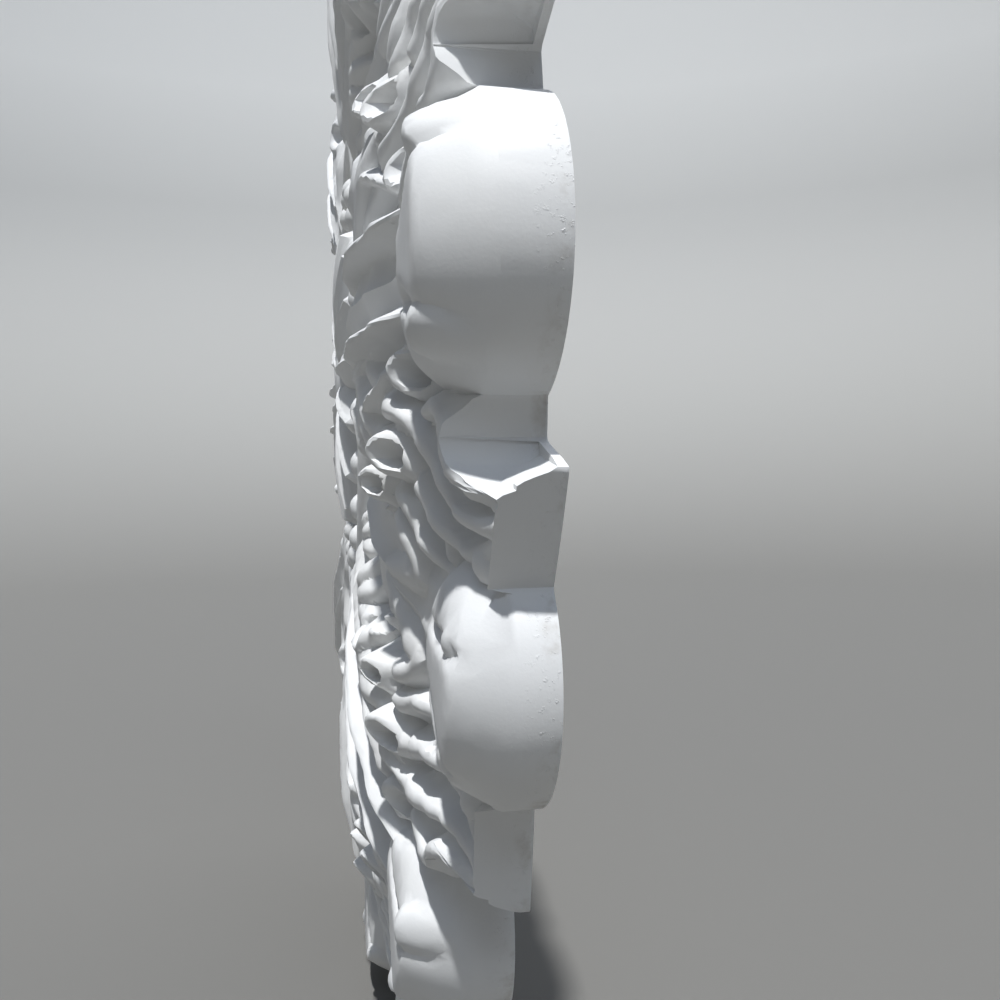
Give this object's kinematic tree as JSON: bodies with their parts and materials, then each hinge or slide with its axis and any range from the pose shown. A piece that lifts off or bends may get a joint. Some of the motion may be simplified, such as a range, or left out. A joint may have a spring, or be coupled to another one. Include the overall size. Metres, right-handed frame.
{
  "type": "ceiling rose",
  "caption": "Round cast ceiling rose with acanthus leaves that curl over at a scalloped rim, a ringed rosette in the middle and a flat back.",
  "frame": {"origin": "middle of the flat back face", "axes": "+Y out of the flat back, so on a ceiling +Y points up into the ceiling; the ornament faces -Y; the disc stands upright as in the picture, with +Z up and the axis of one big leaf along +X"},
  "size_m": [0.5596, 0.041, 0.5598],
  "materials": {
    "painted_plaster": "matt white paint on cast plaster"
  },
  "bodies": {
    "root": {"ceiling_rose": "painted_plaster"}
  },
  "joints": []
}
